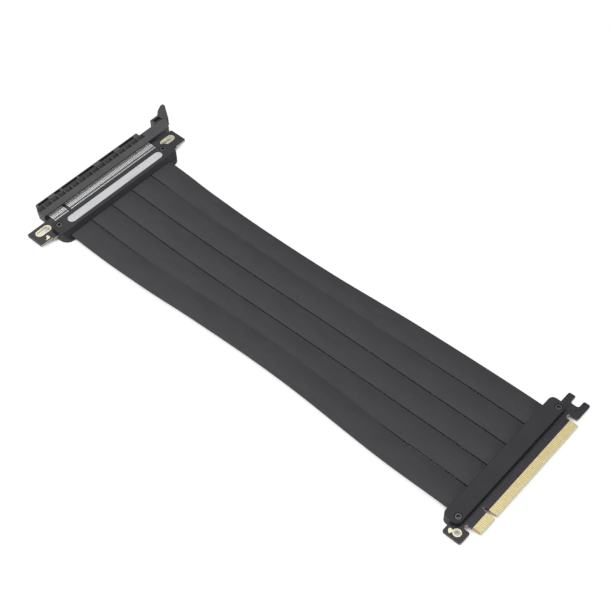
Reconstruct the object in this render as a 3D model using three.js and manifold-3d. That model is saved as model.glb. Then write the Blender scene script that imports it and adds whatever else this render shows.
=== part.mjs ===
// A ribbon riser cable for a graphics card: a sixteen-lane edge socket on one small board, five flat cable
// strips, and a card-edge plug on a second board. Millimetres, +Z up. Both boards lie flat, the socket's
// mouth faces +Y, the gold edge fingers of the plug face -Y, and the covers stand on the plane Z = 0.
import * as THREE from "three";
import { mergeVertices } from "three/addons/utils/BufferGeometryUtils.js";
import Module from "manifold-3d";

const wasm = await Module();
wasm.setup();

// Contacts. X is measured from the first contact while the pieces are made.
const contactPitch = 1;
const shortGroup = 11;
const longGroup = 71;
const keyPitch = 3;
const cardThickness = 1.6;

// Heights shared by both ends.
const coverHeight = 7.2;
const boardMiddle = coverHeight / 2;
const boardTop = boardMiddle + cardThickness / 2;
const boardBottom = boardMiddle - cardThickness / 2;
const seamGap = 0.2;
const stackGap = 0.1;
const fitGap = 0.3;

// How far a cutting body runs past the face that it opens.
const past = 1;
const curveSegments = 5;

// Socket housing.
const housingThickness = 5.9;
const housingRear = 0.43;
const housingDepth = 11.3;
const housingLeft = -3.6;
const tallRight = 82.8;
const deckDrop = 2.9;
const deckRight = 96.4;
const slotWidth = 1.9;
const slotFloor = 3.4;
const mouthFlare = 0.8;
const keyRibWidth = 1.7;
const keyRibSetback = 0.6;
const springChannelDepth = 0.5;
const springChannelEnd = 0.4;
const springChannelLip = 2.8;
const waferRoomHalf = 1.9;
const leftEndDepth = 5.8;
const leftEndSlope = 2.7;
const pocketCount = 16;
const pocketPitch = 5.52;
const pocketRib = 0.7;
const pocketDepth = 1.25;
const pocketStart = 5.15;
const pocketLength = 3.7;
const pocketRamp = 1.1;
const windowDepth = 1.1;
const windowLength = 2.1;
const windowRim = 0.45;
// Gaps between the windows, as [start, width] along X.
const windowBars = [[8, 5.2], [17.5, 1.4], [31.2, 1.6], [45.2, 5], [62.2, 4.5]];
const windowStart = 0.1;
const windowEnd = 79;
const pocketMargin = 0.1;

// Latch lever at the end of the socket.
const pivotX = 100;
const pivotY = 2.5;
const cheekRadius = 6.6;
const cheekSides = 8;
const flareAngle = THREE.MathUtils.degToRad(33.7);
const flareSetback = 0.8;
const leverThickness = 2.6;
const trunnionRadius = 1.1;
const trunnionReach = 0.9;
const leverHeadLeft = 96.7;
const leverHeadHeight = 13.5;
const leverHeadWidth = 6.4;
const leverSlotMargin = 2.6;
const leverSlotFloor = 0.7;
const tabLength = 12.4;
const tabWidth = 3.7;
const tabStep = 1.2;
const tabEnd = 2;
const webHalf = 1.2;
const sideRecess = 1.3;
const sideRecessDepth = 1.2;

// Contact springs and tails.
const contactWidth = 0.62;
const contactThickness = 0.2;
const tailEnd = -3.6;
const tailBend = -1;
const tailClearance = 0.05;
const springDrop = 0.35;
const springReach = 8.2;
const waferStart = 0.9;
const waferLength = 1.6;
const waferThickness = 0.8;

// Socket board.
const earReachLeft = 12.1;
const earReachRight = 12.3;
const earCorner = 0.8;
const earInnerCorner = 0.4;
const boardRear = -1.3;
const earDepth = 12.9;
const earStep = 8.7;
const boardDepth = 14;
const boardLipEnd = 6;
const earSlotInsetLeft = 8.4;
const earSlotInsetRight = 8.2;
const earSlotY = -6.2;
const earSlotLength = 9.8;
const earSlotWidth = 4.2;
const platingRim = 0.5;
const platingWall = 0.25;
const platingHeight = 0.12;
const barrelGap = 0.02;

// Socket covers.
const coverLength = 95.6;
const socketCoverMiddle = 40.9;
const socketCoverRear = -7.5;
const socketCoverTopDepth = 11.4;
const socketCoverDepth = 14.9;
const skirtHeight = 1.2;
const rearCornerX = 2.4;
const rearCornerY = 3;
const frontCornerRadius = 6;
const toeBevel = 0.4;
const wall = 1.6;
const roof = 1.8;
const socketScrewInset = 4.7;
const socketScrewY = -11.5;
const inlayLength = 77;
const inlayMiddle = 41.9;
const inlayWidth = 5.6;
const inlayThickness = 0.6;
const inlayY = -13.65;
const inlayProud = 0.05;
const inlayBed = 0.02;

// Plug board. The tongue carries the edge fingers.
const tongueMargin = 1.1;
const keyNotchWidth = 1.9;
const tongueEnd = -323.7;
const fingerStart = -318.2;
const fingerLength = 4.5;
const fingerWidth = 0.7;
const fingerProud = 0.05;
const keyNotchDepth = 8.5;
const sideGapDepth = 9.2;
const edgeBevelDepth = 0.48;
const footGap = 3.1;
const footWidth = 8.1;
const footEnd = -319.1;
const earTop = -307.6;
const footHoleX = 4.1;
const footHoleY = -314;
const footHoleRadius = 2.1;
const footRim = 0.35;
const hookGap = 3;
const hookReach = 11.9;
const hookEnd = -321.3;
const hookNotchDepth = 5.3;
const hookNotchWidth = 5.2;
const hookProng = 4.2;
const plugBoardRear = -306.5;
const boardCorner = 1;
const tongueCorner = 0.7;
const keyCorner = 0.3;
const notchMouthCorner = 0.8;
const notchCorner = 1.5;
const roundEndLand = 0.01;

// Plug covers.
const plugCoverMiddle = 41.8;
const plugCoverFront = -312.5;
const plugCoverDepth = 10.1;
const plugScrewInset = 4.1;
const plugScrewY = -309.6;
const edgeBevel = 0.4;
const plugCoverCorner = 2.6;
const boardInCover = 0.4;

// Screws, the same at both ends.
const headRadius = 2;
const headHeight = 1.4;
const headSink = 0.2;
const socketHexWidth = 2;
const socketHexDepth = 0.8;
const shankRadius = 1;
const screwFloor = 1.2;
const headSides = 16;
const shankSides = 12;
const headClearance = 0.2;
const shankClearance = 0.15;
const shankHoleClearance = 0.2;

// Ribbon strips: five flat cables side by side, whose outer two slide over and under their neighbours midway.
const stripWidth = 16.3;
const stripThickness = 0.9;
const stripBevelShare = 0.3;
const stripPitchSocket = 16.55;
const stripPitchPlug = 16.7;
const ribbonMiddleSocket = 39.6;
const ribbonMiddlePlug = 41.6;
const pottingDepth = 1.9;
const pottingHeight = 2.4;

// The cable's routes, one list for each strip from the socket to the plug, as [X, Y, Z] down its middle.
const stripRoutes = [
  [[6.5, -17.8, 3.6], [6.5, -22, 3.6], [6.5, -26, 3.6], [6.2, -38, 3.6], [6.1, -54, 3.6], [6.6, -72, 3.5],
    [7.4, -90, 3.35], [8.9, -112, 3.25], [10.1, -138, 3.2], [10.9, -162, 3.2], [11, -186, 3.2],
    [10.4, -208, 3.2], [9.3, -230, 3.25], [8.3, -252, 3.4], [8, -270, 3.55], [8.15, -288, 3.6],
    [8.2, -296, 3.6], [8.2, -300, 3.6], [8.2, -304, 3.6]],
  [[23.05, -17.8, 3.6], [23.05, -22, 3.6], [23.05, -26, 3.6], [23, -38, 3.2], [23, -54, 2.6],
    [23.05, -72, 2.15], [23.15, -90, 1.95], [23.45, -112, 1.9], [23.95, -138, 1.9], [24.55, -162, 1.9],
    [25, -186, 1.9], [25.2, -208, 1.9], [25.25, -230, 2.05], [25.15, -252, 2.6], [25, -270, 3.2],
    [24.9, -288, 3.55], [24.9, -296, 3.6], [24.9, -300, 3.6], [24.9, -304, 3.6]],
  [[39.6, -17.8, 3.6], [39.6, -22, 3.6], [39.6, -26, 3.6], [39.55, -38, 3.2], [39.55, -54, 2.6],
    [39.6, -72, 2.15], [39.7, -90, 1.95], [40, -112, 1.9], [40.5, -138, 1.9], [41.1, -162, 1.9],
    [41.55, -186, 1.9], [41.8, -208, 1.9], [41.9, -230, 2.05], [41.8, -252, 2.6], [41.7, -270, 3.2],
    [41.6, -288, 3.55], [41.6, -296, 3.6], [41.6, -300, 3.6], [41.6, -304, 3.6]],
  [[56.15, -17.8, 3.6], [56.15, -22, 3.6], [56.15, -26, 3.6], [56.1, -38, 3.2], [56.1, -54, 2.6],
    [56.15, -72, 2.15], [56.25, -90, 1.95], [56.55, -112, 1.9], [57.05, -138, 1.9], [57.65, -162, 1.9],
    [58.1, -186, 1.9], [58.4, -208, 1.9], [58.55, -230, 2.05], [58.45, -252, 2.6], [58.35, -270, 3.2],
    [58.3, -288, 3.55], [58.3, -296, 3.6], [58.3, -300, 3.6], [58.3, -304, 3.6]],
  [[72.7, -17.8, 3.6], [72.7, -22, 3.6], [72.7, -25, 3.6], [72.6, -38, 2.7], [72.3, -54, 1.25],
    [71.9, -72, 0.75], [71.5, -90, 0.6], [71.4, -112, 0.58], [71.7, -138, 0.58], [72.4, -162, 0.58],
    [73.7, -186, 0.58], [74.9, -208, 0.7], [75.4, -230, 1.2], [75.4, -252, 2.1], [75.2, -270, 2.95],
    [75.05, -288, 3.5], [75, -296, 3.6], [75, -300, 3.6], [75, -304, 3.6]],
];
const stripCount = stripRoutes.length;
const routeSteps = 26;

// Finishes.
function finish(color, roughness, metalness = 0) {
  return new THREE.MeshStandardMaterial({ color, roughness, metalness });
}

const mouldedBlack = finish(0x2b2b2d, 0.55);
const leverBlack = finish(0x343436, 0.5);
const coverBlack = finish(0x303034, 0.5);
const boardBlack = finish(0x1d1a20, 0.35);
const paleStrip = finish(0xe6e7eb, 0.4);
const tin = finish(0xd8d8d6, 0.28, 1);
const gold = finish(0xd9bd6a, 0.3, 1);
const screwBlack = finish(0x19191b, 0.4, 0.7);
const ribbonGrey = finish(0x434346, 0.85);
const resin = finish(0x0d0d0e, 0.6);

// A closed solid of a three.js geometry, moved by a matrix if one is given.
function solidOf(geometry, matrix) {
  const bare = geometry.clone();
  bare.deleteAttribute("normal");
  bare.deleteAttribute("uv");
  if (matrix) bare.applyMatrix4(matrix);
  const merged = mergeVertices(bare, 1e-5);
  return new wasm.Manifold(new wasm.Mesh({
    numProp: 3,
    vertProperties: new Float32Array(merged.attributes.position.array),
    triVerts: new Uint32Array(merged.index.array),
  }));
}

// A closed outline whose corners are [x, y, radius]; a corner without a radius stays sharp.
function outline(corners) {
  const points = [];
  corners.forEach(([x, y, radius = 0], i) => {
    const corner = new THREE.Vector2(x, y);
    if (radius === 0) {
      points.push(corner);
      return;
    }
    const [beforeX, beforeY] = corners.at(i - 1);
    const [afterX, afterY] = corners[(i + 1) % corners.length];
    const back = new THREE.Vector2(beforeX, beforeY).sub(corner).normalize();
    const ahead = new THREE.Vector2(afterX, afterY).sub(corner).normalize();
    const half = Math.acos(THREE.MathUtils.clamp(back.dot(ahead), -1, 1)) / 2;
    const middle = back.clone().add(ahead).normalize();
    const centre = corner.clone().addScaledVector(middle, radius / Math.sin(half));
    const first = back.multiplyScalar(radius / Math.tan(half)).add(corner).sub(centre);
    const turn = Math.sign(first.cross(corner.clone().sub(centre))) * (Math.PI - 2 * half);
    const steps = Math.max(2, Math.round(Math.abs(turn) / (Math.PI / 8)));
    for (let step = 0; step <= steps; step += 1) {
      points.push(first.clone().rotateAround(new THREE.Vector2(), (turn * step) / steps).add(centre));
    }
  });
  return new THREE.Shape(points);
}

// A plate with an outline in X and Y, from one height to another.
function plate(shape, low, high) {
  const depth = high - low;
  const geometry = new THREE.ExtrudeGeometry(shape, { depth, bevelEnabled: false, curveSegments });
  return solidOf(geometry, new THREE.Matrix4().makeTranslation(0, 0, low));
}

// A bar with an outline in Y and Z, from one X to another.
function bar(shape, left, right) {
  const depth = right - left;
  const geometry = new THREE.ExtrudeGeometry(shape, { depth, bevelEnabled: false, curveSegments });
  return solidOf(geometry, new THREE.Matrix4().set(0, 0, 1, left, 1, 0, 0, 0, 0, 1, 0, 0, 0, 0, 0, 1));
}

// A box between two opposite corners.
function block([x0, y0, z0], [x1, y1, z1]) {
  const geometry = new THREE.BoxGeometry(x1 - x0, y1 - y0, z1 - z0);
  const centre = [(x0 + x1) / 2, (y0 + y1) / 2, (z0 + z1) / 2];
  return solidOf(geometry, new THREE.Matrix4().makeTranslation(...centre));
}

// An upright round bar.
function post(x, y, radius, low, high, sides = headSides) {
  const geometry = new THREE.CylinderGeometry(radius, radius, high - low, sides);
  geometry.rotateX(Math.PI / 2);
  return solidOf(geometry, new THREE.Matrix4().makeTranslation(x, y, (low + high) / 2));
}

// A slot with round ends that lies along X.
function stadium(x, y, length, width) {
  const end = width / 2;
  const run = length / 2 - end;
  const shape = new THREE.Shape();
  shape.absarc(x + run, y, end, -Math.PI / 2, Math.PI / 2);
  shape.absarc(x - run, y, end, Math.PI / 2, (3 * Math.PI) / 2);
  return shape;
}

function circle(x, y, radius) {
  return new THREE.Shape().absarc(x, y, radius, 0, 2 * Math.PI);
}

// A cutting body that runs through a board, and the one for a screw's shank.
function throughBoard(shape) {
  return plate(shape, boardBottom - past, boardTop + past);
}

function screwHole(x, y) {
  return post(x, y, shankRadius + shankHoleClearance, boardBottom - past, boardTop + past, shankSides);
}

// The same solid on the other side of the boards' middle plane.
function mirrored(solid) {
  return solid.mirror([0, 0, 1]).translate([0, 0, 2 * boardMiddle]);
}

function join(solids) {
  return solids.reduce((whole, next) => whole.add(next));
}

function cut(solid, tools) {
  return solid.subtract(join(tools));
}

const root = new THREE.Group();

function piece(name, solid, material) {
  const mesh = solid.getMesh();
  const geometry = new THREE.BufferGeometry();
  geometry.setAttribute("position", new THREE.BufferAttribute(new Float32Array(mesh.vertProperties), 3));
  geometry.setIndex(new THREE.BufferAttribute(new Uint32Array(mesh.triVerts), 1));
  geometry.computeVertexNormals();
  const part = new THREE.Mesh(geometry, material);
  part.name = name;
  root.add(part);
}

// Places that both ends share, along X.
const lastShort = (shortGroup - 1) * contactPitch;
const firstLong = lastShort + keyPitch * contactPitch;
const lastLong = firstLong + (longGroup - 1) * contactPitch;
const keyMiddle = (lastShort + firstLong) / 2;
const tongueLeft = -tongueMargin;
const tongueRight = lastLong + tongueMargin;

function contactPlaces(first, count) {
  return Array.from({ length: count }, (_, i) => first + i * contactPitch);
}

// Socket housing: the long contact body, the lower deck behind it, and two cheeks that hold the latch.
const housingTop = boardMiddle + housingThickness / 2;
const housingBottom = boardMiddle - housingThickness / 2;
const mouthY = housingRear + housingDepth;
const deckY = mouthY - deckDrop;
const slotLow = boardMiddle - slotWidth / 2;
const slotHigh = boardMiddle + slotWidth / 2;
const slotLeft = tongueLeft - fitGap;
const slotRight = tongueRight + fitGap;
const hookSlotLeft = tongueRight + hookGap - fitGap;
const leverSlotLeft = leverHeadLeft - leverSlotMargin;
const leverSlotHalf = leverThickness / 2 + fitGap / 2;
const flareX = (y) => pivotX + flareSetback + (y - housingRear) * Math.tan(flareAngle);

// The cheeks' end: an arc about the latch's pivot, from the deck to the flared edge.
function cheekArc(radius, fromX, toAngle) {
  const fromAngle = Math.acos((fromX - pivotX) / radius);
  return Array.from({ length: cheekSides + 1 }, (_, i) => {
    const angle = THREE.MathUtils.lerp(fromAngle, toAngle, i / cheekSides);
    return [pivotX + radius * Math.cos(angle), pivotY + radius * Math.sin(angle)];
  });
}

function flareCrossing(radius) {
  const offset = flareX(pivotY) - pivotX;
  const slope = Math.tan(flareAngle);
  const across = offset * Math.cos(flareAngle);
  const along = Math.sqrt(radius * radius - across * across) - offset * Math.sin(flareAngle);
  const rise = along * Math.cos(flareAngle);
  return Math.atan2(rise, offset + rise * slope);
}

function makeHousing() {
  const plan = outline([
    [housingLeft, housingRear, 0.3],
    [housingLeft, housingRear + leftEndDepth, 1],
    [housingLeft + leftEndSlope, mouthY, 0.3],
    [tallRight, mouthY, 0.3],
    [tallRight, deckY],
    [deckRight, deckY],
    ...cheekArc(cheekRadius, deckRight, flareCrossing(cheekRadius)),
    [flareX(housingRear), housingRear],
  ]);
  const body = plate(plan, housingBottom, housingTop);

  const mouth = outline([
    [slotFloor, slotLow],
    [mouthY - mouthFlare, slotLow],
    [mouthY + past, slotLow - mouthFlare - past],
    [mouthY + past, slotHigh + mouthFlare + past],
    [mouthY - mouthFlare, slotHigh],
    [slotFloor, slotHigh],
  ]);
  const cardSlot = bar(mouth, slotLeft, slotRight);
  const endFlare = bar(outline([
    [mouthY - mouthFlare, boardMiddle],
    [mouthY + past, slotLow - mouthFlare],
    [mouthY + past, slotHigh + mouthFlare],
  ]), housingLeft - past, slotLeft + past);
  const keyRib = block(
    [keyMiddle - keyRibWidth / 2, slotFloor - past, slotLow - past],
    [keyMiddle + keyRibWidth / 2, mouthY - keyRibSetback, slotHigh + past],
  );
  const springs = [
    [slotLeft + springChannelEnd, keyMiddle - keyRibWidth / 2],
    [keyMiddle + keyRibWidth / 2, slotRight - springChannelEnd],
  ].map(([left, right]) => block(
    [left, slotFloor, slotLow - springChannelDepth],
    [right, mouthY - springChannelLip, slotHigh + springChannelDepth],
  ));
  const wafers = [
    [-contactPitch, lastShort + contactPitch],
    [firstLong - contactPitch, lastLong + contactPitch],
  ].map(([left, right]) => block(
    [left + fitGap, housingRear - past, boardMiddle - waferRoomHalf],
    [right - fitGap, slotFloor + stackGap, boardMiddle + waferRoomHalf],
  ));
  const hookSlot = block([hookSlotLeft, slotFloor, slotLow], [leverSlotLeft + past, mouthY + past, slotHigh]);
  const leverSlot = block(
    [leverSlotLeft, housingRear + leverSlotFloor, boardMiddle - leverSlotHalf],
    [pivotX + 2 * cheekRadius, mouthY + past, boardMiddle + leverSlotHalf],
  );
  const trunnionHole = post(
    pivotX, pivotY, trunnionRadius + fitGap / 2,
    boardMiddle - leverThickness / 2 - trunnionReach - fitGap / 2,
    boardMiddle + leverThickness / 2 + trunnionReach + fitGap / 2,
  );

  const floorZ = housingTop - pocketDepth;
  const pocketShape = outline([
    [pocketStart, floorZ],
    [pocketStart + pocketLength - pocketRamp, floorZ],
    [pocketStart + pocketLength, housingTop],
    [pocketStart + pocketLength, housingTop + past],
    [pocketStart, housingTop + past],
  ]);
  const pockets = Array.from({ length: pocketCount }, (_, i) => {
    const left = housingLeft + pocketMargin + i * pocketPitch + pocketRib / 2;
    return bar(pocketShape, left, left + pocketPitch - pocketRib);
  });
  const windowTop = mouthY - windowRim;
  const edges = [windowStart, ...windowBars.flatMap(([start, width]) => [start, start + width]), windowEnd];
  const windows = [];
  for (let i = 0; i < edges.length; i += 2) {
    windows.push(block(
      [edges[i], windowTop - windowLength, housingTop - windowDepth],
      [edges[i + 1], windowTop, housingTop + past],
    ));
  }
  const onTop = join([...pockets, ...windows]);

  const openings = join([cardSlot, endFlare, ...springs]).subtract(keyRib);
  return body
    .subtract(join([openings, ...wafers, hookSlot, leverSlot, trunnionHole, onTop, mirrored(onTop)]));
}

piece("socket_housing", makeHousing(), mouldedBlack);

// Latch lever: a web with two trunnions between the cheeks, a full-width head, and a slanting thumb tab.
function makeLatch() {
  const inner = cheekRadius + fitGap;
  const crossing = flareCrossing(inner);
  const start = [pivotX + inner * Math.cos(crossing), pivotY + inner * Math.sin(crossing)];
  const leftAngle = Math.acos((leverHeadLeft - pivotX) / inner);
  const arc = cheekArc(inner, leverHeadLeft, crossing);
  const along = new THREE.Vector2(Math.sin(flareAngle), Math.cos(flareAngle));
  const outward = new THREE.Vector2(along.y, -along.x);
  const tabBase = new THREE.Vector2(...start).addScaledVector(outward, tabStep);
  const tabTip = tabBase.clone().addScaledVector(along, tabLength);
  const head = outline([
    ...arc,
    [tabBase.x, tabBase.y],
    [tabTip.x, tabTip.y, 0.5],
    [tabTip.x, tabTip.y + tabEnd, 0.4],
    [tabTip.x - tabEnd, tabTip.y + tabEnd, 0.6],
    [leverHeadLeft + leverHeadWidth + tabWidth, tabTip.y, 0.6],
    [leverHeadLeft + leverHeadWidth, leverHeadHeight, 0.5],
    [leverHeadLeft, leverHeadHeight, 0.3],
  ]);
  const headSolid = plate(head, housingBottom, housingTop);
  const web = plate(outline([
    [pivotX - webHalf, pivotY - trunnionRadius, 1],
    [pivotX + webHalf, pivotY - trunnionRadius, 1],
    [start[0] - webHalf / 2, start[1] + webHalf / 2],
    [leverHeadLeft + webHalf / 2, pivotY + inner * Math.sin(leftAngle) + webHalf / 2],
  ]), boardMiddle - leverThickness / 2, boardMiddle + leverThickness / 2);
  const reach = leverThickness / 2 + trunnionReach;
  const trunnions = post(pivotX, pivotY, trunnionRadius, boardMiddle - reach, boardMiddle + reach);
  const recess = block(
    [leverHeadLeft + sideRecess, deckY - sideRecess, housingTop - sideRecessDepth],
    [leverHeadLeft + leverHeadWidth, leverHeadHeight - sideRecess, housingTop + past],
  );
  return cut(headSolid, [recess, mirrored(recess)]).add(web).add(trunnions);
}

piece("socket_latch", makeLatch(), leverBlack);

// Contact rows: springs in the slot and tails on the board, carried by a moulded wafer inside the housing.
function contactRow(places) {
  const surface = cardThickness / 2 + tailClearance + contactThickness / 2;
  const middle = [
    [tailEnd, surface],
    [tailBend, surface],
    [springReach, surface - springDrop],
  ];
  const half = contactThickness / 2;
  const upper = middle.map(([y, z]) => [y, boardMiddle + z + half]);
  const lower = middle.map(([y, z]) => [y, boardMiddle + z - half]);
  const profile = outline([...lower, ...upper.reverse()]);
  const springs = places.map((x) => bar(profile, x - contactWidth / 2, x + contactWidth / 2));
  const wafer = block(
    [places[0] - contactPitch / 2, waferStart, boardMiddle + surface - waferThickness / 2],
    [places.at(-1) + contactPitch / 2, waferStart + waferLength, boardMiddle + surface + waferThickness / 2],
  );
  return join([wafer, ...springs]);
}

const groups = [["short", contactPlaces(0, shortGroup)], ["long", contactPlaces(firstLong, longGroup)]];
for (const [group, places] of groups) {
  const row = contactRow(places);
  piece(`socket_contacts_upper_${group}`, row, tin);
  piece(`socket_contacts_lower_${group}`, mirrored(row), tin);
}

// A plated lining of a hole: a thin barrel with a rim on each face of the board.
function plating(hole, rim, inside) {
  const barrel = plate(hole, boardBottom - platingHeight, boardTop + platingHeight);
  const upperRim = plate(rim, boardTop, boardTop + platingHeight);
  const lowerRim = plate(rim, boardBottom - platingHeight, boardBottom);
  return cut(join([barrel, upperRim, lowerRim]), [plate(inside, boardBottom - past, boardTop + past)]);
}

// Socket board with a slotted ear at each end.
const socketCoverLeft = socketCoverMiddle - coverLength / 2;
const socketCoverRight = socketCoverMiddle + coverLength / 2;
const earLeft = socketCoverLeft - earReachLeft;
const earRight = socketCoverRight + earReachRight;
const earSlots = [earLeft + earSlotInsetLeft, earRight - earSlotInsetRight];
const socketScrews = [socketCoverLeft + socketScrewInset, socketCoverRight - socketScrewInset];
const socketBoardFront = boardRear - boardDepth;

function makeSocketBoard() {
  const earFront = boardRear - earDepth;
  const stepLeft = earLeft + earStep;
  const stepRight = earRight - earStep;
  const shape = outline([
    [earLeft, earFront, earCorner],
    [stepLeft, earFront, earInnerCorner],
    [stepLeft, socketBoardFront, earInnerCorner],
    [stepRight, socketBoardFront, earInnerCorner],
    [stepRight, earFront, earInnerCorner],
    [earRight, earFront, earCorner],
    [earRight, boardRear, earCorner],
    [lastLong + boardLipEnd, boardRear],
    [lastLong + boardLipEnd, housingRear - fitGap],
    [-contactPitch * 1.5, housingRear - fitGap],
    [-contactPitch * 1.5, boardRear],
    [earLeft, boardRear, earCorner],
  ]);
  const holes = [
    ...earSlots.map((x) => throughBoard(stadium(x, earSlotY, earSlotLength, earSlotWidth))),
    ...socketScrews.map((x) => screwHole(x, socketScrewY)),
  ];
  return cut(plate(shape, boardBottom, boardTop), holes);
}

piece("socket_board", makeSocketBoard(), boardBlack);

["left", "right"].forEach((side, i) => {
  const solid = plating(
    stadium(earSlots[i], earSlotY, earSlotLength - 2 * barrelGap, earSlotWidth - 2 * barrelGap),
    stadium(earSlots[i], earSlotY, earSlotLength + 2 * platingRim, earSlotWidth + 2 * platingRim),
    stadium(earSlots[i], earSlotY, earSlotLength - 2 * platingWall, earSlotWidth - 2 * platingWall),
  );
  piece(`${side}_ear_slot_plating`, solid, gold);
});

// A screw with a hexagon socket in its head, standing with its head near the top of a cover.
function screw(x, y) {
  const top = coverHeight - headSink;
  const neck = top - headHeight;
  const head = post(x, y, headRadius, neck, top);
  const shank = post(x, y, shankRadius, screwFloor + fitGap, top - socketHexDepth, shankSides);
  const hex = post(x, y, socketHexWidth / Math.sqrt(3), top - socketHexDepth, top + past, 6);
  return head.add(shank).subtract(hex);
}

// The room that a screw needs in the upper and the lower cover.
function screwRoom(x, y) {
  const neck = coverHeight - headSink - headHeight;
  return [
    post(x, y, headRadius + headClearance, neck - stackGap, coverHeight + past),
    post(x, y, shankRadius + shankClearance, screwFloor, neck, shankSides),
  ];
}

// Potting that joins the strips' wires to a board, along the board's hidden edge.
function potting([left, right], front, rear, gap = 0) {
  return block(
    [left - gap, front - gap, boardMiddle - pottingHeight / 2 - gap],
    [right + gap, rear + gap, boardMiddle + pottingHeight / 2 + gap],
  );
}

// Socket covers: two mouldings with a sloping front that the ribbon leaves through.
const socketCoverFront = socketCoverRear - socketCoverDepth;
const stripSide = ((stripCount - 1) * stripPitchSocket + stripWidth) / 2;
const socketRibbon = [ribbonMiddleSocket - stripSide, ribbonMiddleSocket + stripSide];
const plugSide = ((stripCount - 1) * stripPitchPlug + stripWidth) / 2;
const plugRibbon = [ribbonMiddlePlug - plugSide, ribbonMiddlePlug + plugSide];
const ribbonLow = boardMiddle - stripThickness / 2;
const ribbonHigh = boardMiddle + stripThickness / 2;
const socketPottingRear = socketBoardFront - fitGap;
const socketPottingFront = socketPottingRear - pottingDepth;

function makeSocketCover(upper) {
  const slopeTop = [socketCoverRear - socketCoverTopDepth, coverHeight];
  const slopeFoot = [socketCoverFront, skirtHeight];
  const seam = boardMiddle + (upper ? seamGap / 2 : -seamGap / 2);
  const seamY = THREE.MathUtils.mapLinear(seam, slopeTop[1], slopeFoot[1], slopeTop[0], slopeFoot[0]);
  const side = upper
    ? outline([[seamY, seam], [socketCoverRear, seam], [socketCoverRear, coverHeight, edgeBevel], slopeTop])
    : outline([
      [socketCoverFront + toeBevel, 0],
      [socketCoverRear, 0],
      [socketCoverRear, seam],
      [seamY, seam],
      slopeFoot,
      [socketCoverFront, toeBevel],
    ]);
  const plan = outline([
    [socketCoverLeft, socketCoverFront, frontCornerRadius],
    [socketCoverRight, socketCoverFront, frontCornerRadius],
    [socketCoverRight, socketCoverRear - rearCornerY],
    [socketCoverRight - rearCornerX, socketCoverRear],
    [socketCoverLeft + rearCornerX, socketCoverRear],
    [socketCoverLeft, socketCoverRear - rearCornerY],
  ]);
  const shell = bar(side, socketCoverLeft, socketCoverRight)
    .intersect(plate(plan, -past, coverHeight + past));
  const boardRoom = block(
    [socketCoverLeft - past, socketBoardFront - stackGap, boardBottom - stackGap],
    [socketCoverRight + past, socketCoverRear + past, boardTop + stackGap],
  );
  const solderRoom = block(
    [socketScrews[0] + headRadius + wall, socketPottingRear, roof],
    [socketScrews[1] - headRadius - wall, socketCoverRear - wall, coverHeight - roof],
  );
  const pottingRoom = potting(socketRibbon, socketPottingFront, socketPottingRear, fitGap);
  const ribbonMouth = block(
    [socketRibbon[0] - fitGap, socketCoverFront - past, ribbonLow - fitGap],
    [socketRibbon[1] + fitGap, socketPottingFront, ribbonHigh + fitGap],
  );
  const rooms = socketScrews.flatMap((x) => screwRoom(x, socketScrewY));
  const recess = plate(
    stadium(inlayMiddle, inlayY, inlayLength, inlayWidth),
    coverHeight - inlayThickness,
    coverHeight + past,
  );
  const hollows = [boardRoom, solderRoom, pottingRoom, ribbonMouth];
  return cut(shell, [...hollows, ...rooms, ...(upper ? [recess] : [])]);
}

piece("socket_top_cover", makeSocketCover(true), coverBlack);
piece("socket_bottom_cover", makeSocketCover(false), coverBlack);

// Pale strip let into the top of the cover.
piece("pale_inlay_strip", plate(
  stadium(inlayMiddle, inlayY, inlayLength - stackGap, inlayWidth - stackGap),
  coverHeight - inlayThickness + inlayBed,
  coverHeight + inlayProud,
), paleStrip);

["left", "right"].forEach((side, i) => {
  piece(`socket_${side}_screw`, screw(socketScrews[i], socketScrewY), screwBlack);
});

piece("socket_potting", potting(socketRibbon, socketPottingFront, socketPottingRear), resin);

// Ribbon strips: flat sections swept down their routes.
function makeStrip(route) {
  const points = route.map((point) => new THREE.Vector3(...point));
  const path = new THREE.CatmullRomCurve3(points, false, "catmullrom", 0.5);
  const bevel = stripThickness * stripBevelShare;
  const thin = stripThickness / 2;
  const half = stripWidth / 2;
  const section = outline([
    [-thin, -half + bevel],
    [-thin + bevel, -half],
    [thin - bevel, -half],
    [thin, -half + bevel],
    [thin, half - bevel],
    [thin - bevel, half],
    [-thin + bevel, half],
    [-thin, half - bevel],
  ]);
  return solidOf(new THREE.ExtrudeGeometry(section, { steps: routeSteps, extrudePath: path }));
}

stripRoutes.forEach((route, i) => piece(`ribbon_strip_${i + 1}`, makeStrip(route), ribbonGrey));

// Plug board: the keyed tongue with its edge fingers, a foot with a plated hole, and the two-pronged hook.
const footRight = tongueLeft - footGap;
const footLeft = footRight - footWidth;
const footHole = [footRight - footHoleX, footHoleY];
const hookLeft = tongueRight + hookGap;
const hookRight = hookLeft + hookReach;
const keyNotchEnd = tongueEnd + keyNotchDepth;
const plugCoverRear = plugCoverFront + plugCoverDepth;
const plugCoverLeft = plugCoverMiddle - coverLength / 2;
const plugCoverRight = plugCoverMiddle + coverLength / 2;
const plugScrews = [plugCoverLeft + plugScrewInset, plugCoverRight - plugScrewInset];

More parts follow.
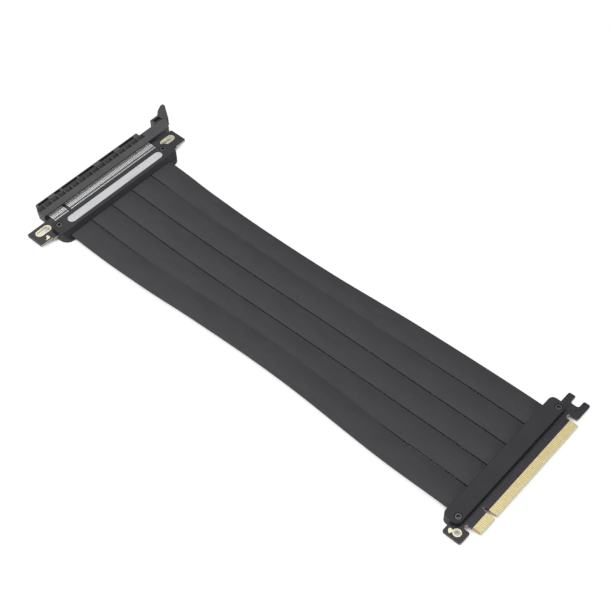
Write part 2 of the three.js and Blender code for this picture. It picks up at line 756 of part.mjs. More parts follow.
function makePlugBoard() {
  const gapTop = tongueEnd + sideGapDepth;
  const half = keyNotchWidth / 2;
  const notchBottom = hookRight - hookNotchDepth;
  const notchLow = hookEnd + hookProng;
  const notchHigh = notchLow + hookNotchWidth;
  const shape = outline([
    [footLeft, footEnd, boardCorner],
    [footRight, footEnd, boardCorner],
    [footRight, gapTop, footGap / 2 - roundEndLand],
    [tongueLeft, gapTop, footGap / 2 - roundEndLand],
    [tongueLeft, tongueEnd, tongueCorner],
    [keyMiddle - half, tongueEnd, keyCorner],
    [keyMiddle - half, keyNotchEnd, half - roundEndLand],
    [keyMiddle + half, keyNotchEnd, half - roundEndLand],
    [keyMiddle + half, tongueEnd, keyCorner],
    [tongueRight, tongueEnd, tongueCorner],
    [tongueRight, keyNotchEnd, hookGap / 2 - roundEndLand],
    [hookLeft, keyNotchEnd, hookGap / 2 - roundEndLand],
    [hookLeft, hookEnd, boardCorner],
    [hookRight, hookEnd, boardCorner],
    [hookRight, notchLow, notchMouthCorner],
    [notchBottom, notchLow, notchCorner],
    [notchBottom, notchHigh, notchCorner],
    [hookRight, notchHigh, notchMouthCorner],
    [hookRight, earTop, boardCorner],
    [plugCoverRight - wall - boardInCover, earTop],
    [plugCoverRight - wall - boardInCover, plugBoardRear],
    [plugCoverLeft + wall + boardInCover, plugBoardRear],
    [plugCoverLeft + wall + boardInCover, earTop],
    [footLeft, earTop, boardCorner],
  ]);
  const edge = outline([
    [tongueEnd - past, boardBottom - past],
    [tongueEnd - past, boardBottom + edgeBevelDepth],
    [tongueEnd, boardBottom + edgeBevelDepth],
    [tongueEnd + edgeBevelDepth * 2, boardBottom],
    [tongueEnd + edgeBevelDepth * 2, boardBottom - past],
  ]);
  const tongueBevel = bar(edge, tongueLeft - past, tongueRight + past);
  const holes = [
    throughBoard(circle(...footHole, footHoleRadius)),
    ...plugScrews.map((x) => screwHole(x, plugScrewY)),
  ];
  const board = cut(plate(shape, boardBottom, boardTop), [...holes, tongueBevel, mirrored(tongueBevel)]);
  const fingers = groups.flatMap(([, places]) => places.map((x) => block(
    [x - fingerWidth / 2, fingerStart - fingerLength, boardBottom - fingerProud],
    [x + fingerWidth / 2, fingerStart, boardTop + fingerProud],
  )));
  return join([board, ...fingers]);
}

piece("plug_board", makePlugBoard(), boardBlack);

piece("plug_foot_hole_plating", plating(
  circle(...footHole, footHoleRadius - barrelGap),
  circle(...footHole, footHoleRadius + footRim),
  circle(...footHole, footHoleRadius - platingWall),
), gold);

// Plug covers: two flat mouldings with rounded ends.
const plugPottingFront = plugBoardRear + fitGap;
const plugPottingRear = plugPottingFront + pottingDepth;

function makePlugCover(upper) {
  const plan = outline([
    [plugCoverLeft + edgeBevel, plugCoverFront + edgeBevel, plugCoverCorner],
    [plugCoverRight - edgeBevel, plugCoverFront + edgeBevel, plugCoverCorner],
    [plugCoverRight - edgeBevel, plugCoverRear - edgeBevel, plugCoverCorner],
    [plugCoverLeft + edgeBevel, plugCoverRear - edgeBevel, plugCoverCorner],
  ]);
  const whole = solidOf(new THREE.ExtrudeGeometry(plan, {
    depth: coverHeight - 2 * edgeBevel,
    bevelThickness: edgeBevel,
    bevelSize: edgeBevel,
    bevelSegments: 1,
  }), new THREE.Matrix4().makeTranslation(0, 0, edgeBevel));
  const reach = [plugCoverLeft - past, plugCoverRight + past];
  const seam = boardMiddle + (upper ? seamGap / 2 : -seamGap / 2);
  const otherHalf = upper
    ? block([reach[0], plugCoverFront - past, -past], [reach[1], plugCoverRear + past, seam])
    : block([reach[0], plugCoverFront - past, seam], [reach[1], plugCoverRear + past, coverHeight + past]);
  const boardRoom = block(
    [plugCoverLeft + wall, plugCoverFront - past, boardBottom - stackGap],
    [plugCoverRight - wall, plugBoardRear + stackGap, boardTop + stackGap],
  );
  const earRoom = block(
    [reach[0], plugCoverFront - past, boardBottom - stackGap],
    [reach[1], earTop + stackGap, boardTop + stackGap],
  );
  const solderRoom = block(
    [plugScrews[0] + headRadius + wall, plugCoverFront + wall, roof],
    [plugScrews[1] - headRadius - wall, plugPottingFront, coverHeight - roof],
  );
  const pottingRoom = potting(plugRibbon, plugPottingFront, plugPottingRear, fitGap);
  const ribbonMouth = block(
    [plugRibbon[0] - fitGap, plugPottingRear, ribbonLow - fitGap],
    [plugRibbon[1] + fitGap, plugCoverRear + past, ribbonHigh + fitGap],
  );
  const rooms = plugScrews.flatMap((x) => screwRoom(x, plugScrewY));
  return cut(whole, [otherHalf, boardRoom, earRoom, solderRoom, pottingRoom, ribbonMouth, ...rooms]);
}

piece("plug_top_cover", makePlugCover(true), coverBlack);
piece("plug_bottom_cover", makePlugCover(false), coverBlack);
piece("plug_potting", potting(plugRibbon, plugPottingFront, plugPottingRear), resin);

["left", "right"].forEach((side, i) => {
  piece(`plug_${side}_screw`, screw(plugScrews[i], plugScrewY), screwBlack);
});

// The origin lies on the standing plane under the middle of the whole cable.
const extent = new THREE.Box3().setFromObject(root);
const middle = extent.getCenter(new THREE.Vector3());
root.position.set(-middle.x, -middle.y, 0);

export default root;
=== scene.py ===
import math

import bmesh
import bpy
from mathutils import Matrix, Vector


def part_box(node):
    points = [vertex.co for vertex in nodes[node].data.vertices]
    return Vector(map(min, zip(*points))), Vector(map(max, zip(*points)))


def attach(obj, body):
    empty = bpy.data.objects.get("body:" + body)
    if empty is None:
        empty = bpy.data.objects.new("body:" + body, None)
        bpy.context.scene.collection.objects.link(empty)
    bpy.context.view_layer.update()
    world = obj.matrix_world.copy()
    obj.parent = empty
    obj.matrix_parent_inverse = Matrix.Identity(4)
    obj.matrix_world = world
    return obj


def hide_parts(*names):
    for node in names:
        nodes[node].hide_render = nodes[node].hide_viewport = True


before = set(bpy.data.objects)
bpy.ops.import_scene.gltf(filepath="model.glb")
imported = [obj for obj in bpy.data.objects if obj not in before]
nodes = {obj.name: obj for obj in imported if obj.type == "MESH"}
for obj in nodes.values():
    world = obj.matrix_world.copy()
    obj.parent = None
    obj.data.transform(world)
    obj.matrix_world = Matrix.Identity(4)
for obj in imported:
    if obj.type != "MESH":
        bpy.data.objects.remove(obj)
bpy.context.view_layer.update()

# The view of the photograph: from the plug's left, well above the table, with a long lens and a slight roll.
# Places are in millimetres from the socket's first contact and the housing's rear edge.
board_low, board_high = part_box("socket_board")
first_contact = Vector((board_low[0] + 0.019, board_high[1] - 0.00013, 0))


def at(x, y, z):
    return first_contact + Vector((x, y, z)) / 1000


camera_place = at(-281.12, -461.724, 559.44)
camera_azimuth, camera_elevation, camera_roll = map(math.radians, (-47.79, 51.137, -0.695))
camera_data = bpy.data.cameras.new("camera")
camera_data.sensor_width = 36
camera_data.lens = 36 * 1255.77 / 610
camera_data.clip_start = 0.01
camera = bpy.data.objects.new("camera", camera_data)
looking_back = Vector((
    math.sin(camera_azimuth) * math.cos(camera_elevation),
    -math.cos(camera_azimuth) * math.cos(camera_elevation),
    math.sin(camera_elevation),
))
level_right = Vector((math.cos(camera_azimuth), math.sin(camera_azimuth), 0))
level_up = looking_back.cross(level_right)
tilted_right = level_right * math.cos(camera_roll) + level_up * math.sin(camera_roll)
tilted_up = looking_back.cross(tilted_right)
camera.matrix_world = Matrix((
    (tilted_right.x, tilted_up.x, looking_back.x, camera_place.x),
    (tilted_right.y, tilted_up.y, looking_back.y, camera_place.y),
    (tilted_right.z, tilted_up.z, looking_back.z, camera_place.z),
    (0, 0, 0, 1),
))
bpy.context.scene.collection.objects.link(camera)
bpy.context.scene.camera = camera


# Ribbon strips: five flat cables, each a bundle of thin shielded wires in a matt grey foil jacket, soldered to
# both boards inside the covers. The outer two slide over and under their neighbours midway.
strip_routes = [
    [(6.5, -17.8, 3.6), (6.5, -22, 3.6), (6.5, -26, 3.6), (6.2, -38, 3.6), (6.1, -54, 3.6), (6.6, -72, 3.5),
     (7.4, -90, 3.35), (8.9, -112, 3.25), (10.1, -138, 3.2), (10.9, -162, 3.2), (11, -186, 3.2),
     (10.4, -208, 3.2), (9.3, -230, 3.25), (8.3, -252, 3.4), (8, -270, 3.55), (8.15, -288, 3.6),
     (8.2, -296, 3.6), (8.2, -300, 3.6), (8.2, -304, 3.6)],
    [(23.05, -17.8, 3.6), (23.05, -22, 3.6), (23.05, -26, 3.6), (23, -38, 3.2), (23, -54, 2.6),
     (23.05, -72, 2.15), (23.15, -90, 1.95), (23.45, -112, 1.9), (23.95, -138, 1.9), (24.55, -162, 1.9),
     (25, -186, 1.9), (25.2, -208, 1.9), (25.25, -230, 2.05), (25.15, -252, 2.6), (25, -270, 3.2),
     (24.9, -288, 3.55), (24.9, -296, 3.6), (24.9, -300, 3.6), (24.9, -304, 3.6)],
    [(39.6, -17.8, 3.6), (39.6, -22, 3.6), (39.6, -26, 3.6), (39.55, -38, 3.2), (39.55, -54, 2.6),
     (39.6, -72, 2.15), (39.7, -90, 1.95), (40, -112, 1.9), (40.5, -138, 1.9), (41.1, -162, 1.9),
     (41.55, -186, 1.9), (41.8, -208, 1.9), (41.9, -230, 2.05), (41.8, -252, 2.6), (41.7, -270, 3.2),
     (41.6, -288, 3.55), (41.6, -296, 3.6), (41.6, -300, 3.6), (41.6, -304, 3.6)],
    [(56.15, -17.8, 3.6), (56.15, -22, 3.6), (56.15, -26, 3.6), (56.1, -38, 3.2), (56.1, -54, 2.6),
     (56.15, -72, 2.15), (56.25, -90, 1.95), (56.55, -112, 1.9), (57.05, -138, 1.9), (57.65, -162, 1.9),
     (58.1, -186, 1.9), (58.4, -208, 1.9), (58.55, -230, 2.05), (58.45, -252, 2.6), (58.35, -270, 3.2),
     (58.3, -288, 3.55), (58.3, -296, 3.6), (58.3, -300, 3.6), (58.3, -304, 3.6)],
    [(72.7, -17.8, 3.6), (72.7, -22, 3.6), (72.7, -25, 3.6), (72.6, -38, 2.7), (72.3, -54, 1.25),
     (71.9, -72, 0.75), (71.5, -90, 0.6), (71.4, -112, 0.58), (71.7, -138, 0.58), (72.4, -162, 0.58),
     (73.7, -186, 0.58), (74.9, -208, 0.7), (75.4, -230, 1.2), (75.4, -252, 2.1), (75.2, -270, 2.95),
     (75.05, -288, 3.5), (75, -296, 3.6), (75, -300, 3.6), (75, -304, 3.6)],
]
strip_width = 0.0161
strip_thickness = 0.0009
strip_edge = 0.00027


def smooth_route(points, substeps=6):
    """A smooth line through a route's points."""
    ends = [points[0] * 2 - points[1], *points, points[-1] * 2 - points[-2]]
    line = []
    for before, start, end, after in zip(ends, ends[1:], ends[2:], ends[3:]):
        for step in range(substeps):
            t = step / substeps
            line.append(0.5 * (
                2 * start + (end - before) * t + (2 * before - 5 * start + 4 * end - after) * t ** 2
                + (3 * start - before - 3 * end + after) * t ** 3
            ))
    return [*line, points[-1]]


def new_finish(name, colour, roughness, metallic=0.0):
    """A material's shader with its plain values, the nodes to add detail to, and a position in metres."""
    material = bpy.data.materials.new(name)
    material.use_nodes = True
    tree = material.node_tree
    shader = tree.nodes["Principled BSDF"]
    shader.inputs["Base Color"].default_value = (*colour, 1)
    shader.inputs["Roughness"].default_value = roughness
    shader.inputs["Metallic"].default_value = metallic
    shader.inputs["Specular IOR Level"].default_value = 0.5
    place = tree.nodes.new("ShaderNodeTexCoord")
    return material, tree, shader, place.outputs["Object"]


def stretched(tree, place, scale):
    """The position stretched by its own amount along each axis."""
    mapping = tree.nodes.new("ShaderNodeMapping")
    mapping.inputs["Scale"].default_value = scale
    tree.links.new(place, mapping.inputs["Vector"])
    return mapping.outputs["Vector"]


def clouds(tree, place, scale, detail=2.0):
    """Soft noise of a given fineness, per metre."""
    texture = tree.nodes.new("ShaderNodeTexNoise")
    texture.inputs["Scale"].default_value = scale
    texture.inputs["Detail"].default_value = detail
    tree.links.new(place, texture.inputs["Vector"])
    return texture.outputs["Fac"]


def between(tree, amount, low, high):
    """A number that runs from low to high with a texture."""
    span = tree.nodes.new("ShaderNodeMapRange")
    span.inputs["From Min"].default_value = 0.3
    span.inputs["From Max"].default_value = 0.7
    span.inputs["To Min"].default_value = low
    span.inputs["To Max"].default_value = high
    tree.links.new(amount, span.inputs["Value"])
    return span.outputs["Result"]


def blend_colours(tree, amount, low, high):
    """A colour that runs from low to high with a mask or texture."""
    mix = tree.nodes.new("ShaderNodeMix")
    mix.data_type = "RGBA"
    tree.links.new(amount, mix.inputs[0])
    for socket, colour in ((mix.inputs[6], low), (mix.inputs[7], high)):
        if isinstance(colour, tuple):
            socket.default_value = (*colour, 1)
        else:
            tree.links.new(colour, socket)
    return mix.outputs[2]


def raised(tree, height, depth, normal=None):
    """The surface's normal with a relief of that depth, in metres."""
    bump = tree.nodes.new("ShaderNodeBump")
    bump.inputs["Distance"].default_value = depth
    tree.links.new(height, bump.inputs["Height"])
    if normal:
        tree.links.new(normal, bump.inputs["Normal"])
    return bump.outputs["Normal"]


def added(tree, one, other, operation="ADD"):
    """Two numbers joined by one step of arithmetic."""
    step = tree.nodes.new("ShaderNodeMath")
    step.operation = operation
    for socket, value in zip(step.inputs, (one, other)):
        if isinstance(value, (int, float)):
            socket.default_value = value
        else:
            tree.links.new(value, socket)
    return step.outputs[0]


def place_axis(tree, place, axis):
    """One of the position's three numbers."""
    split = tree.nodes.new("ShaderNodeSeparateXYZ")
    tree.links.new(place, split.inputs[0])
    return split.outputs[axis]


def ribbon_finish():
    material, tree, shader, place = new_finish("ribbon_grey", (0.036, 0.0355, 0.0395), 0.62)
    crinkle = clouds(tree, stretched(tree, place, (160, 60, 160)), 1.0, 4)
    fibres = clouds(tree, stretched(tree, place, (4200, 260, 4200)), 1.0, 2)
    weave = clouds(tree, place, 3800, 1)
    tone = blend_colours(tree, between(tree, crinkle, 0, 1), (0.037, 0.0365, 0.041), (0.0445, 0.044, 0.0485))
    tree.links.new(tone, shader.inputs["Base Color"])
    tree.links.new(between(tree, fibres, 0.54, 0.7), shader.inputs["Roughness"])
    relief = raised(tree, crinkle, 0.0004)
    relief = raised(tree, fibres, 0.00002, relief)
    tree.links.new(raised(tree, weave, 0.00002, relief), shader.inputs["Normal"])
    return material


def shown(name, mesh, material, body="cable"):
    """A finished piece that rides on a body."""
    mesh.materials.append(material)
    piece = bpy.data.objects.new(name, mesh)
    bpy.context.scene.collection.objects.link(piece)
    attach(piece, body)
    return piece


def strip_mesh(name, line):
    half, thin = strip_width / 2, strip_thickness / 2
    corners = []
    for side, face in ((1, 1), (-1, 1), (-1, -1), (1, -1)):
        for turn in (0, 0.5, 1):
            angle = turn * math.pi / 2
            across = half - strip_edge + strip_edge * (math.sin(angle) if side * face < 0 else math.cos(angle))
            rise = thin - strip_edge + strip_edge * (math.cos(angle) if side * face < 0 else math.sin(angle))
            corners.append((side * across, face * rise))
    grid = bmesh.new()
    rings = []
    for i, point in enumerate(line):
        along = (line[min(i + 1, len(line) - 1)] - line[max(i - 1, 0)]).normalized()
        across = along.cross(Vector((0, 0, 1))).normalized()
        up = across.cross(along)
        rings.append([grid.verts.new(point + across * x + up * z) for x, z in corners])
    for ring, following in zip(rings, rings[1:]):
        for i in range(len(corners)):
            j = (i + 1) % len(corners)
            grid.faces.new((ring[i], ring[j], following[j], following[i]))
    grid.faces.new(rings[0][::-1])
    grid.faces.new(rings[-1])
    bmesh.ops.recalc_face_normals(grid, faces=grid.faces)
    for face in grid.faces:
        face.smooth = len(face.verts) == 4
    mesh = bpy.data.meshes.new(name)
    grid.to_mesh(mesh)
    grid.free()
    return mesh


ribbon_grey = ribbon_finish()
for number, route in enumerate(strip_routes, 1):
    line = smooth_route([at(*point) for point in route])
    strip = shown(f"ribbon_{number}", strip_mesh(f"ribbon_{number}", line), ribbon_grey)
    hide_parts(f"ribbon_strip_{number}")


# Socket housing: one long moulding of black glass-filled nylon with rows of moulded pockets and windows, whose
# mouth takes the card's edge and whose two cheeks hold the latch. It is pressed onto the board's edge.
def moulding_finish(name, colour, grain, roughness, painted_shade_below=None):
    """Nylon with a fine grain; the floors of pockets, below a height, are painted duller and darker as shade."""
    material, tree, shader, place = new_finish(name, colour, roughness)
    fine = clouds(tree, place, grain, 3)
    broad = clouds(tree, place, 90, 2)
    low = tuple(channel * 0.9 for channel in colour)
    high = tuple(channel * 1.12 for channel in colour)
    tone = blend_colours(tree, between(tree, broad, 0, 1), low, high)
    if painted_shade_below:
        # Painted shade: faces that point up and lie below the level are blended to near black.
        facing = tree.nodes.new("ShaderNodeNewGeometry")
        upward = added(tree, place_axis(tree, facing.outputs["True Normal"], 2), 0.9, "GREATER_THAN")
        shaded_floor = added(tree, place_axis(tree, place, 2), painted_shade_below, "LESS_THAN")
        tone = blend_colours(tree, added(tree, upward, shaded_floor, "MULTIPLY"), tone, (0.008, 0.008, 0.009))
    tree.links.new(tone, shader.inputs["Base Color"])
    tree.links.new(between(tree, fine, roughness - 0.06, roughness + 0.08), shader.inputs["Roughness"])
    tree.links.new(raised(tree, fine, 0.00006), shader.inputs["Normal"])
    return material


def dressed(name, material, edge=0):
    """A solid of the frame with its material and, where moulded, rounded edges."""
    node = nodes[name]
    for index in range(len(node.material_slots)):
        node.material_slots[index].material = material
    if edge:
        bevel = node.modifiers.new("edges", "BEVEL")
        bevel.width = edge
        bevel.segments = 2
        bevel.limit_method = "ANGLE"
        bevel.angle_limit = math.radians(35)
        bevel.use_clamp_overlap = True
        bevel.miter_outer = "MITER_ARC"


# Painted shade level: upward floors of the housing's and lever's pockets below this height are darkened.
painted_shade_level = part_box("socket_housing")[1][2] - 0.0007
moulded_black = moulding_finish("moulded_black", (0.074, 0.074, 0.078), 4200, 0.5, painted_shade_level)
dressed("socket_housing", moulded_black, 0.00012)


# Latch lever: a small moulding of the same black nylon that turns on two pins between the housing's cheeks, with
# a slanting thumb tab and a side pocket.
lever_black = moulding_finish("lever_black", (0.056, 0.056, 0.061), 4200, 0.46, painted_shade_level)
dressed("socket_latch", lever_black, 0.00015)


# Contact rows: stamped springs of tinned bronze in the slot, whose flat tails are soldered to both faces of the
# board behind the housing.
def tin_finish():
    material, tree, shader, place = new_finish("tin", (0.55, 0.55, 0.55), 0.36, 0.55)
    smear = clouds(tree, stretched(tree, place, (2600, 700, 2600)), 1.0, 3)
    tree.links.new(between(tree, smear, 0.28, 0.44), shader.inputs["Roughness"])
    tone = blend_colours(tree, between(tree, smear, 0, 1), (0.78, 0.78, 0.78), (0.88, 0.88, 0.88))
    tree.links.new(tone, shader.inputs["Base Color"])
    tree.links.new(raised(tree, smear, 0.00003), shader.inputs["Normal"])
    return material


tin = tin_finish()
contact_rows = [range(0, 11), range(13, 84)]
for group in ("short", "long"):
    for side in ("upper", "lower"):
        dressed(f"socket_contacts_{side}_{group}", tin)


# Socket board: black-varnished glass-fibre laminate, 1.6 mm thick, with a slotted ear at each end and a pale
# cut edge where the panel was parted.
board_middle = (board_low[2] + board_high[2]) / 2
board_half = 0.0008
tongue_left = first_contact.x - 0.0015
tongue_right = first_contact.x + 0.0855
finger_length = 0.00458


def board_shader(name, fingers=None):
    """Black solder resist over copper tracks; cut edges that face the cable's far end show the laminate."""
    material, tree, shader, place = new_finish(name, (0.03, 0.027, 0.034), 0.32)
    mottle = clouds(tree, place, 420, 3)
    resist = blend_colours(tree, between(tree, mottle, 0, 1), (0.026, 0.024, 0.031), (0.036, 0.031, 0.04))
    facing = tree.nodes.new("ShaderNodeNewGeometry")
    toward = place_axis(tree, facing.outputs["True Normal"], 1)
    cut_edge = added(tree, toward, -0.5, "LESS_THAN")
    glass = clouds(tree, stretched(tree, place, (900, 900, 9000)), 1.0, 2)
    laminate = blend_colours(tree, between(tree, glass, 0, 1), (0.5, 0.46, 0.33), (0.74, 0.71, 0.56))
    tone = blend_colours(tree, cut_edge, resist, laminate)
    tracks = tree.nodes.new("ShaderNodeTexWave")
    tracks.bands_direction = "X"
    tracks.inputs["Scale"].default_value = 157
    tracks.inputs["Distortion"].default_value = 0.6
    tracks.inputs["Detail"].default_value = 1
    tree.links.new(place, tracks.inputs["Vector"])
    tree.links.new(raised(tree, tracks.outputs["Fac"], 0.00001), shader.inputs["Normal"])
    roughness = between(tree, mottle, 0.28, 0.42)
    if fingers:
        start, proud = fingers
        height = added(tree, added(tree, place_axis(tree, place, 2), board_middle, "SUBTRACT"), 0, "ABSOLUTE")
        across = place_axis(tree, place, 0)
        inside = added(
            tree,
            added(tree, across, tongue_left, "GREATER_THAN"),
            added(tree, across, tongue_right, "LESS_THAN"),
            "MULTIPLY",
        )
        bare = added(tree, inside, added(tree, place_axis(tree, place, 1), start, "LESS_THAN"), "MULTIPLY")
        gilt = added(tree, added(tree, height, board_half + proud / 2, "GREATER_THAN"), bare, "MULTIPLY")
        between_fingers = blend_colours(tree, between(tree, glass, 0, 1), (0.62, 0.47, 0.2), (0.72, 0.56, 0.27))
        tone = blend_colours(tree, bare, tone, between_fingers)
        # The bevelled tip past the fingers: bare laminate, painted paler than the cut edges as a painted
        # highlight.
        bevel_laminate_and_highlight = added(tree, place_axis(tree, place, 1), start - finger_length, "LESS_THAN")
        bevel_laminate_and_highlight = added(tree, inside, bevel_laminate_and_highlight, "MULTIPLY")
        tone = blend_colours(tree, bevel_laminate_and_highlight, tone, (0.86, 0.82, 0.6))
        gold_tone = blend_colours(tree, between(tree, mottle, 0, 1), (0.96, 0.82, 0.4), (1.0, 0.9, 0.5))
        tone = blend_colours(tree, gilt, tone, gold_tone)
        tree.links.new(added(tree, gilt, 0.35, "MULTIPLY"), shader.inputs["Metallic"])
    tree.links.new(tone, shader.inputs["Base Color"])
    tree.links.new(roughness, shader.inputs["Roughness"])
    return material


dressed("socket_board", board_shader("board_black"))


def slab(grid, low, high, corner=0.0):
    """A flat block between two corners, with rounded upright edges if corner is given."""
    steps = 4 if corner else 0
    outline = []
    for x, y, start in ((high.x, high.y, 0), (low.x, high.y, 90), (low.x, low.y, 180), (high.x, low.y, 270)):
        inner = Vector((x - math.copysign(corner, x - (low.x + high.x) / 2),
                        y - math.copysign(corner, y - (low.y + high.y) / 2), 0))
        for step in range(steps + 1):
            angle = math.radians(start + 90 * step / max(steps, 1))
            outline.append(inner + Vector((math.cos(angle), math.sin(angle), 0)) * corner)
    lower = [grid.verts.new((point.x, point.y, low.z)) for point in outline]
    upper = [grid.verts.new((point.x, point.y, high.z)) for point in outline]
    grid.faces.new(lower[::-1])
    grid.faces.new(upper)
    for i in range(len(outline)):
        j = (i + 1) % len(outline)
        grid.faces.new((lower[i], lower[j], upper[j], upper[i]))


def finished(grid, name):
    """The mesh of a grid of faces, each turned outward and flat."""
    bmesh.ops.recalc_face_normals(grid, faces=grid.faces)
    for face in grid.faces:
        face.smooth = False
    mesh = bpy.data.meshes.new(name)
    grid.to_mesh(mesh)
    grid.free()
    return mesh


# Solder lands: the tinned copper pads of the board that stand out in front of the tails, one for each contact
# on either face.
land_front, land_rear = -4.3, -5.3
land_width = 0.6
land_height = 0.04
land_corner = 0.00012
upper_face, lower_face = 4.4, 2.8
grid = bmesh.new()
for x in (position for row in contact_rows for position in row):
    left, right = x - land_width / 2, x + land_width / 2
    for low_z, high_z in ((upper_face, upper_face + land_height), (lower_face - land_height, lower_face)):
        slab(grid, at(left, land_rear, low_z), at(right, land_front, high_z), land_corner)
shown("solder_lands", finished(grid, "solder_lands"), tin)


# Ear marks: bare gilt copper left open in the resist beside the socket's left slot, and on the plug's foot.
def gold_finish():
    material, tree, shader, place = new_finish("gold", (0.92, 0.86, 0.55), 0.34, 0.55)
    smear = clouds(tree, place, 1500, 3)
    tree.links.new(between(tree, smear, 0.2, 0.38), shader.inputs["Roughness"])
    tone = blend_colours(tree, between(tree, smear, 0, 1), (0.86, 0.79, 0.48), (0.96, 0.93, 0.68))
    tree.links.new(tone, shader.inputs["Base Color"])
    tree.links.new(raised(tree, smear, 0.00003), shader.inputs["Normal"])
    return material


gold = gold_finish()
for name in ("left_ear_slot_plating", "right_ear_slot_plating", "plug_foot_hole_plating"):
    dressed(name, gold, 0.00004)


def foil(name, corners):
    """A thin flat pad on the upper face of a board."""
    grid = bmesh.new()
    lower = [grid.verts.new(at(x, y, upper_face)) for x, y in corners]
    upper = [grid.verts.new(at(x, y, upper_face + land_height)) for x, y in corners]
    grid.faces.new(lower[::-1])
    grid.faces.new(upper)
    for i in range(len(corners)):
        j = (i + 1) % len(corners)
        grid.faces.new((lower[i], lower[j], upper[j], upper[i]))
    shown(name, finished(grid, name), gold)


foil("ear_mark", [
    (-14.6, -13.2), (-11.4, -13.3), (-10.9, -12.4), (-11.3, -10.6), (-12.2, -10.4), (-12.6, -11.6),
])
foil("foot_mark", [
    (-11.2, -310.9), (-9.4, -312), (-8.2, -311.2), (-8.3, -309.6), (-9.4, -309.2), (-10.4, -310),
])


# Socket and plug covers: black nylon mouldings in two halves that clamp the boards and the ribbon, with a fine
# spark-eroded grain and rounded edges.
cover_black = moulding_finish("cover_black", (0.026, 0.026, 0.03), 3200, 0.56)
for name in ("socket_top_cover", "socket_bottom_cover", "plug_top_cover", "plug_bottom_cover"):
    dressed(name, cover_black, 0.0001)


# Inlay: a smooth strip of milky plastic glued into the socket cover's long recess.
def inlay_finish():
    material, tree, shader, place = new_finish("pale_strip", (0.62, 0.62, 0.65), 0.3)
    haze = clouds(tree, stretched(tree, place, (60, 300, 300)), 1.0, 2)
    tone = blend_colours(tree, between(tree, haze, 0, 1), (0.66, 0.66, 0.68), (0.74, 0.74, 0.76))
    tree.links.new(tone, shader.inputs["Base Color"])
    tree.links.new(between(tree, haze, 0.24, 0.36), shader.inputs["Roughness"])
    tree.links.new(raised(tree, haze, 0.00005), shader.inputs["Normal"])
    shader.inputs["Subsurface Weight"].default_value = 0.15
    shader.inputs["Subsurface Scale"].default_value = 0.001
    return material


dressed("pale_inlay_strip", inlay_finish(), 0.00015)


# Screws: black hexagon-socket screws that draw the halves of each cover together. Turned heads with a small
# chamfer.
screw_head = 0.002
screw_shank = 0.001
head_height = 0.0014
head_chamfer = 0.0002
hexagon = 0.002
hexagon_depth = 0.0012


def screw_finish():
    material, tree, shader, place = new_finish("screw_black", (0.13, 0.13, 0.14), 0.34, 0.8)
    turned = clouds(tree, place, 3000, 2)
    tree.links.new(between(tree, turned, 0.26, 0.44), shader.inputs["Roughness"])
    tone = blend_colours(tree, between(tree, turned, 0, 1), (0.1, 0.1, 0.105), (0.16, 0.16, 0.165))
    tree.links.new(tone, shader.inputs["Base Color"])
    tree.links.new(raised(tree, turned, 0.00002), shader.inputs["Normal"])
    return material


def screw_mesh(name, low, high):
    """A screw in its node's box: shank, head with a chamfer, and a six-sided socket."""
    axis_x, axis_y = (low[0] + high[0]) / 2, (low[1] + high[1]) / 2
    head_top = high[2]
    neck = head_top - head_height
    sides = 48
    grid = bmesh.new()

    def ring(radius, z, corners=sides):
        return [grid.verts.new((
            axis_x + radius * math.cos(2 * math.pi * i / corners),
            axis_y + radius * math.sin(2 * math.pi * i / corners),
            z,
        )) for i in range(corners)]

    def hex_ring(z):
        apothem = hexagon / 2
        points = []
        for i in range(sides):
            angle = 2 * math.pi * i / sides
            off = (angle + math.pi / 6) % (math.pi / 3) - math.pi / 6
            radius = apothem / math.cos(off)
            x, y = axis_x + radius * math.cos(angle), axis_y + radius * math.sin(angle)
            points.append(grid.verts.new((x, y, z)))
        return points

    rings = [
        ring(screw_shank, low[2]),
        ring(screw_shank, neck),
        ring(screw_head, neck),
        ring(screw_head, head_top - head_chamfer),
        ring(screw_head - head_chamfer, head_top),
        hex_ring(head_top),
        hex_ring(head_top - hexagon_depth),
    ]
    for one, two in zip(rings, rings[1:]):
        for i in range(sides):
            j = (i + 1) % sides
            grid.faces.new((one[i], one[j], two[j], two[i]))
    grid.faces.new(rings[0][::-1])
    grid.faces.new(rings[-1])
    return finished(grid, name)


screw_black = screw_finish()
for end in ("socket", "plug"):
    for side in ("left", "right"):
        node = f"{end}_{side}_screw"
        screw = shown(f"{node}_turned", screw_mesh(f"{node}_turned", *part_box(node)), screw_black)
        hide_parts(node)


# Plug board: the same laminate, with a bevelled tongue whose hard-gold fingers go into the slot, a foot with a
# plated hole, and the notched hook that the slot's own latch catches.
finger_start = at(0, -318.15, 0).y
dressed("plug_board", board_shader("plug_board_black", fingers=(finger_start, 0.00005)))


# Potting: black resin over the soldered wire ends, inside both covers.
def resin_finish():
    material, tree, shader, place = new_finish("resin", (0.012, 0.012, 0.013), 0.55)
    lumps = clouds(tree, place, 700, 2)
    tree.links.new(between(tree, lumps, 0.45, 0.65), shader.inputs["Roughness"])
    tree.links.new(raised(tree, lumps, 0.0001), shader.inputs["Normal"])
    return material


resin = resin_finish()
for name in ("socket_potting", "plug_potting"):
    dressed(name, resin)


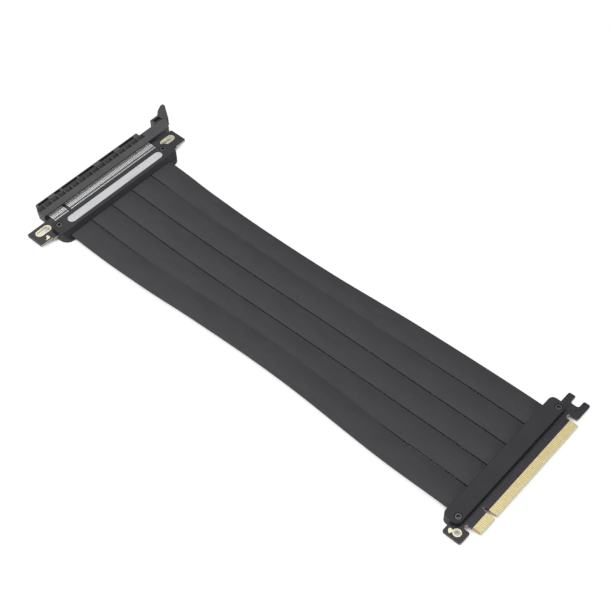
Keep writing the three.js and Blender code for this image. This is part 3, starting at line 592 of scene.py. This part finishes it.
# Table: a white sheet that shows as pure white, keeps a faint shadow under the cable, and is dark in the narrow
# gaps between the strips, where little light reaches it.
def table_finish():
    """White paint, mostly glowing where the camera sees it in the open."""
    glow_share = 0.88
    material = bpy.data.materials.new("white_table")
    material.use_nodes = True
    tree = material.node_tree
    tree.nodes.remove(tree.nodes["Principled BSDF"])
    output = tree.nodes["Material Output"]
    matt = tree.nodes.new("ShaderNodeBsdfDiffuse")
    matt.inputs["Color"].default_value = (0.8, 0.8, 0.8, 1)
    glow = tree.nodes.new("ShaderNodeEmission")
    glow.inputs["Strength"].default_value = 1.08
    path = tree.nodes.new("ShaderNodeLightPath")
    seen = added(tree, path.outputs["Is Camera Ray"], path.outputs["Is Glossy Ray"], "MAXIMUM")
    seen = added(tree, seen, path.outputs["Is Transmission Ray"], "MAXIMUM")
    nearby = tree.nodes.new("ShaderNodeAmbientOcclusion")
    nearby.inputs["Distance"].default_value = 0.02
    nearby.samples = 8
    open_sky = tree.nodes.new("ShaderNodeMapRange")
    open_sky.inputs["From Min"].default_value = 0.15
    open_sky.inputs["From Max"].default_value = 0.36
    tree.links.new(nearby.outputs["AO"], open_sky.inputs["Value"])
    seen_open = added(tree, seen, open_sky.outputs["Result"], "MULTIPLY")
    share = added(tree, seen_open, glow_share, "MULTIPLY")
    mix = tree.nodes.new("ShaderNodeMixShader")
    tree.links.new(share, mix.inputs[0])
    tree.links.new(matt.outputs[0], mix.inputs[1])
    tree.links.new(glow.outputs[0], mix.inputs[2])
    tree.links.new(mix.outputs[0], output.inputs["Surface"])
    return material


grid = bmesh.new()
slab(grid, Vector((-4, -4, -0.01)), Vector((4, 4, 0)))
table_mesh = finished(grid, "table")
table_mesh.materials.append(table_finish())
table = bpy.data.objects.new("table", table_mesh)
bpy.context.scene.collection.objects.link(table)


# Light: a broad soft panel overhead, a smaller one at either side, and an even pale surround.
def panel(name, place, aim, size, power):
    data = bpy.data.lights.new(name, "AREA")
    data.shape = "DISK"
    data.size = size
    data.energy = power
    lamp = bpy.data.objects.new(name, data)
    lamp.location = place
    lamp.rotation_euler = (Vector(place) - Vector(aim)).to_track_quat("Z", "Y").to_euler()
    bpy.context.scene.collection.objects.link(lamp)


panel("overhead_panel", (0, 0.5, 1.3), (0, 0, 0), 1.4, 10)
panel("side_panel", (-1.1, 0.1, 0.9), (0, 0, 0), 0.6, 3.5)
panel("front_panel", (0.56, -0.94, 0.5), (0, 0, 0), 0.3, 1.5)

surround = bpy.data.worlds.new("surround")
surround.use_nodes = True
bpy.context.scene.world = surround
sky_tree = surround.node_tree
sky = sky_tree.nodes["Background"]
sky.inputs["Color"].default_value = (1, 1, 1, 1)
sky_path = sky_tree.nodes.new("ShaderNodeLightPath")
sky_level = sky_tree.nodes.new("ShaderNodeMapRange")
sky_level.inputs["To Min"].default_value = 0.3
sky_level.inputs["To Max"].default_value = 1
sky_tree.links.new(sky_path.outputs["Is Camera Ray"], sky_level.inputs["Value"])
sky_tree.links.new(sky_level.outputs["Result"], sky.inputs["Strength"])
bpy.context.scene.view_settings.view_transform = "Standard"
